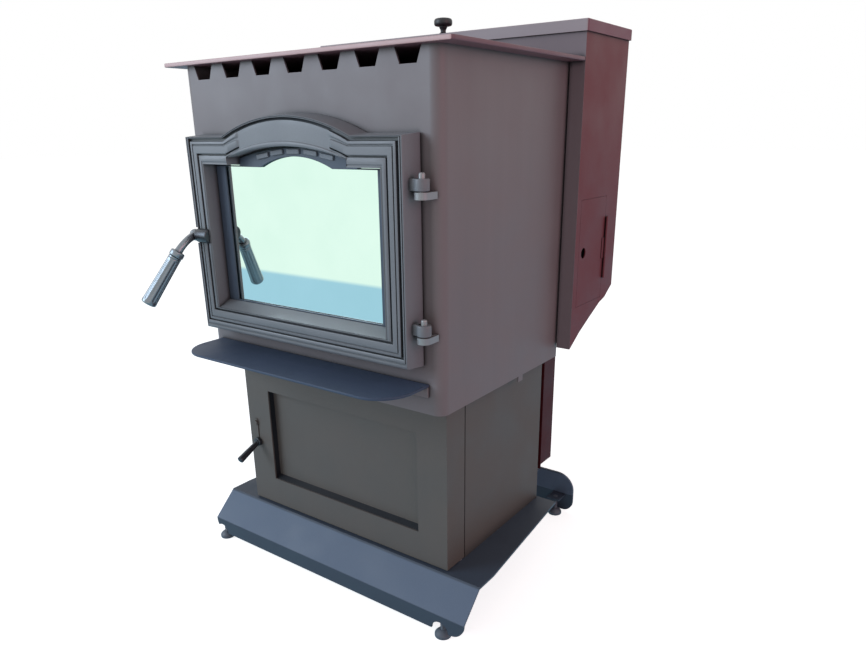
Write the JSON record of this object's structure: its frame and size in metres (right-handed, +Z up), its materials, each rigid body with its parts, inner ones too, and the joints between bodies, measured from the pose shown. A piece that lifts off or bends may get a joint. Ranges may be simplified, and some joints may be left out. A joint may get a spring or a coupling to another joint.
{
  "type": "pellet stove",
  "caption": "Freestanding pellet stove on a pedestal: arched glass load door, ash lip and ash door in front, pellet hopper with lid behind, blowers, auger and firebox inside.",
  "frame": {"origin": "on the floor, under the middle of the stove's whole outline", "axes": "+Z up, -Y to the front (load door), +X to the stove's hinge side"},
  "size_m": [0.643, 0.7745, 1.0376],
  "materials": {
    "black_paint": "satin high-temperature paint",
    "black_casting": "satin painted casting",
    "brown_paint": "satin paint",
    "bright_steel": "satin",
    "duct_steel": "galvanised",
    "motor_case": "satin",
    "glass": "polished, mirror coated",
    "rope": "braided glass fibre rope",
    "firebrick": "matte",
    "black_plastic": "matte",
    "handle_black": "satin",
    "retainer_steel": "satin"
  },
  "bodies": {
    "stove": {"air_box": "black_casting", "air_intake_pipe": "duct_steel", "ash_compartment": "duct_steel", "ash_door_pins": "bright_steel", "ash_lip": "black_casting", "ash_pan": "duct_steel", "auger_housing": "duct_steel", "back_brick": "firebrick", "baffle_plate": "duct_steel", "base_plate": "black_casting", "burn_pot": "black_casting", "casing_back": "black_paint", "casing_floor": "black_paint", "casing_wrap": "black_paint", "combustion_fan_housing": "duct_steel", "combustion_fan_motor": "motor_case", "control_panel": "black_paint", "door_hinge_brackets": "black_casting", "door_hinge_pins": "bright_steel", "door_keeper": "bright_steel", "exhaust_duct": "duct_steel", "feed_motor": "motor_case", "firebox_shell": "black_paint", "flue_tailpipe": "duct_steel", "heat_exchanger": "duct_steel", "hopper_bottom_panel": "brown_paint", "hopper_liner": "brown_paint", "hopper_shell": "brown_paint", "igniter": "bright_steel", "lid_hinges": "bright_steel", "panel_hinge": "bright_steel", "pedestal_wrap": "black_paint", "power_inlet": "black_plastic", "rear_shroud": "brown_paint", "room_blower_housing": "duct_steel", "room_blower_motor": "motor_case", "top_plate": "black_paint"},
    "load_door": {"load_door": "black_casting", "door_glass": "glass", "glass_retainer": "retainer_steel", "door_rope": "rope"},
    "door_handle": {"door_handle": "handle_black", "door_handle_grip": "handle_black"},
    "ash_door": {"ash_door_frame": "black_paint", "ash_door_panel": "black_paint", "ash_door_rope": "rope"},
    "ash_latch": {"ash_door_latch": "bright_steel"},
    "hopper_lid": {"hopper_lid": "brown_paint", "lid_knob": "black_plastic"},
    "side_panel": {"side_access_panel": "brown_paint"},
    "feed_auger": {"feed_auger": "bright_steel"},
    "combustion_fan": {"combustion_fan_wheel": "duct_steel"},
    "room_fan": {"room_blower_wheel": "duct_steel"},
    "feed_rate_dial": {"feed_rate_dial": "black_plastic"},
    "fan_speed_dial": {"fan_speed_dial": "black_plastic"},
    "mode_switch": {"mode_switch": "black_plastic"},
    "foot_front_left": {"foot_front_left": "bright_steel"},
    "foot_front_right": {"foot_front_right": "bright_steel"},
    "foot_rear_left": {"foot_rear_left": "bright_steel"},
    "foot_rear_right": {"foot_rear_right": "bright_steel"}
  },
  "joints": [
    {"name": "load_door_swing", "type": "hinge", "parent": "stove", "child": "load_door", "pos_m": [0.256, -0.262, 0.65], "axis": [0, 0, 1], "range_deg": [0, 110]},
    {"name": "door_handle_turn", "type": "hinge", "parent": "load_door", "child": "door_handle", "pos_m": [-0.242, -0.278, 0.6635], "axis": [1, 0, 0], "range_deg": [0, 25]},
    {"name": "ash_door_swing", "type": "hinge", "parent": "stove", "child": "ash_door", "pos_m": [0.241, -0.15, 0.252], "axis": [0, 0, 1], "range_deg": [0, 105]},
    {"name": "ash_latch_turn", "type": "hinge", "parent": "ash_door", "child": "ash_latch", "pos_m": [-0.225, -0.195, 0.231], "axis": [0, -1, 0], "range_deg": [0, 90]},
    {"name": "hopper_lid_open", "type": "hinge", "parent": "stove", "child": "hopper_lid", "pos_m": [0, 0.341, 0.988], "axis": [-1, 0, 0], "range_deg": [0, 95]},
    {"name": "side_panel_swing", "type": "hinge", "parent": "stove", "child": "side_panel", "pos_m": [0.3076, 0.2788, 0.61175], "axis": [0, 0, 1], "range_deg": [0, 110]},
    {"name": "feed_auger_spin", "type": "hinge", "parent": "stove", "child": "feed_auger", "pos_m": [0, 0.205, 0.555], "axis": [0, -0.7071, 0.7071], "continuous": true},
    {"name": "combustion_fan_spin", "type": "hinge", "parent": "stove", "child": "combustion_fan", "pos_m": [-0.118, 0.052, 0.262], "axis": [1, 0, 0], "continuous": true},
    {"name": "room_fan_spin", "type": "hinge", "parent": "stove", "child": "room_fan", "pos_m": [0.12, 0.078, 0.49], "axis": [1, 0, 0], "continuous": true},
    {"name": "feed_rate_dial_turn", "type": "hinge", "parent": "stove", "child": "feed_rate_dial", "pos_m": [0.2955, 0.219, 0.66], "axis": [1, 0, 0], "range_deg": [0, 270]},
    {"name": "fan_speed_dial_turn", "type": "hinge", "parent": "stove", "child": "fan_speed_dial", "pos_m": [0.2955, 0.219, 0.605], "axis": [1, 0, 0], "range_deg": [0, 270]},
    {"name": "mode_switch_rock", "type": "hinge", "parent": "stove", "child": "mode_switch", "pos_m": [0.286, 0.219, 0.547], "axis": [0, 1, 0], "range_deg": [-8, 8]},
    {"name": "foot_front_left_turn", "type": "hinge", "parent": "stove", "child": "foot_front_left", "pos_m": [-0.306, -0.242, 0.02], "axis": [0, 0, 1], "continuous": true},
    {"name": "foot_front_right_turn", "type": "hinge", "parent": "stove", "child": "foot_front_right", "pos_m": [0.272, -0.242, 0.02], "axis": [0, 0, 1], "continuous": true},
    {"name": "foot_rear_left_turn", "type": "hinge", "parent": "stove", "child": "foot_rear_left", "pos_m": [-0.24, 0.255, 0.02], "axis": [0, 0, 1], "continuous": true},
    {"name": "foot_rear_right_turn", "type": "hinge", "parent": "stove", "child": "foot_rear_right", "pos_m": [0.24, 0.255, 0.02], "axis": [0, 0, 1], "continuous": true}
  ]
}
